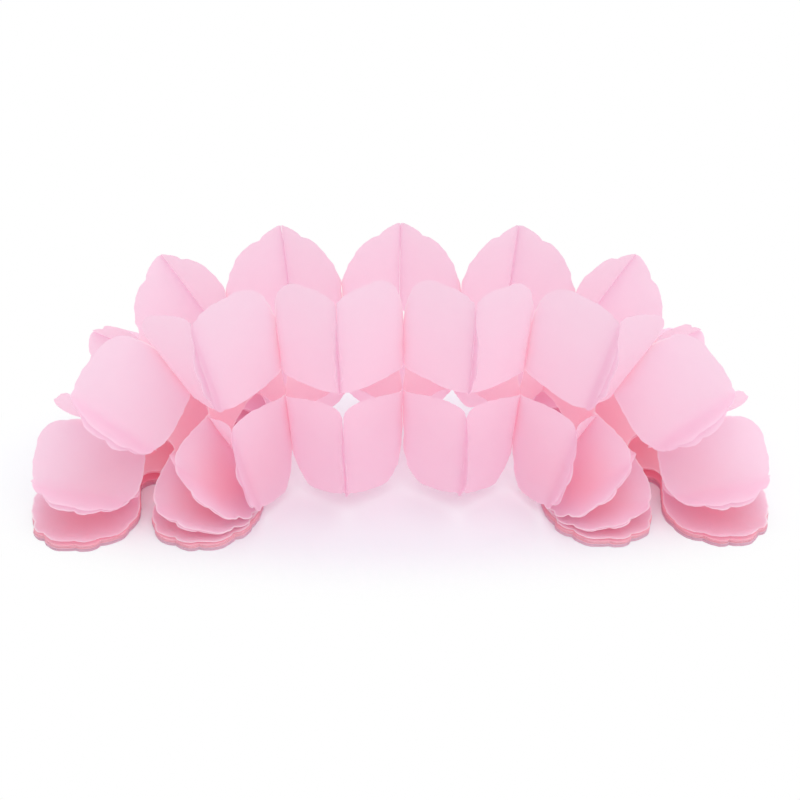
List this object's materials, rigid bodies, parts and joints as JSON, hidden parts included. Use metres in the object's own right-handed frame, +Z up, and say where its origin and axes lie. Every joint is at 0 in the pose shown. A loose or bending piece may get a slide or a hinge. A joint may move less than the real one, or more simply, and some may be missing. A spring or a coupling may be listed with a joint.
{
  "type": "paper garland",
  "caption": "Honeycomb tissue paper garland of die-cut four-leaf-clover sheets glued in alternate lines, standing as an arch on its two closed ends",
  "frame": {"origin": "centre of the overall box on the surface the garland stands on", "axes": "+X along the arch from one closed end to the other, +Y front to back, +Z up"},
  "size_m": [0.544, 0.2206, 0.1791],
  "materials": {
    "open_paper": "matte",
    "pad_paper": "matte"
  },
  "bodies": {
    "root": {"left_sheet_1": "open_paper", "left_sheet_2": "open_paper", "left_sheet_3": "open_paper", "left_sheet_4": "open_paper", "left_sheet_5": "open_paper", "left_sheet_6": "open_paper", "left_sheet_7": "open_paper", "left_sheet_8": "open_paper", "left_sheet_9": "open_paper", "right_sheet_1": "open_paper", "right_sheet_2": "open_paper", "right_sheet_3": "open_paper", "right_sheet_4": "open_paper", "right_sheet_5": "open_paper", "right_sheet_6": "open_paper", "right_sheet_7": "open_paper", "right_sheet_8": "open_paper", "right_sheet_9": "open_paper", "left_pad": "pad_paper", "right_pad": "pad_paper"}
  },
  "joints": []
}
